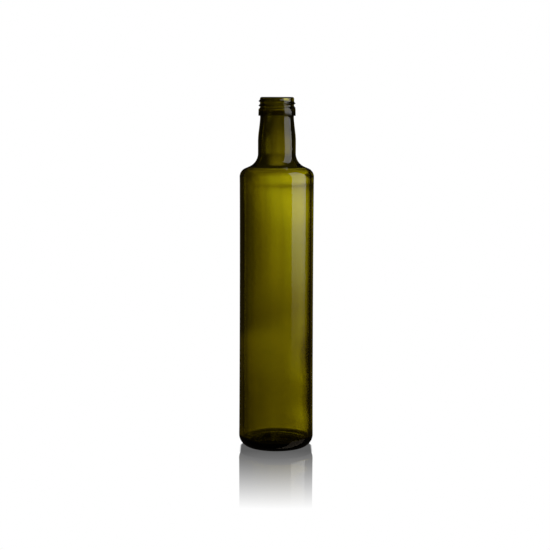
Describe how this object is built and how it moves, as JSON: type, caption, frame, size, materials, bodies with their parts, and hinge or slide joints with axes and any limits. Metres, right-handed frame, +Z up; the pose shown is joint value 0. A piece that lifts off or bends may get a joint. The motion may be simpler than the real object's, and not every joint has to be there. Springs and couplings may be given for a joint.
{
  "type": "olive oil bottle",
  "caption": "Empty dark olive-green glass bottle for olive oil: tall round body, sloping shoulder, tapering neck and open screw mouth without its cap.",
  "frame": {"origin": "middle of the standing ring under the bottle, on the surface that it stands on", "axes": "+Z up along the bottle, towards the mouth; -Y is the front seen in the picture and +X is to the viewer's right"},
  "size_m": [0.061, 0.061, 0.288],
  "materials": {
    "olive_glass": "clear, glossy, dark olive green"
  },
  "bodies": {
    "root": {"bottle": "olive_glass"}
  },
  "joints": []
}
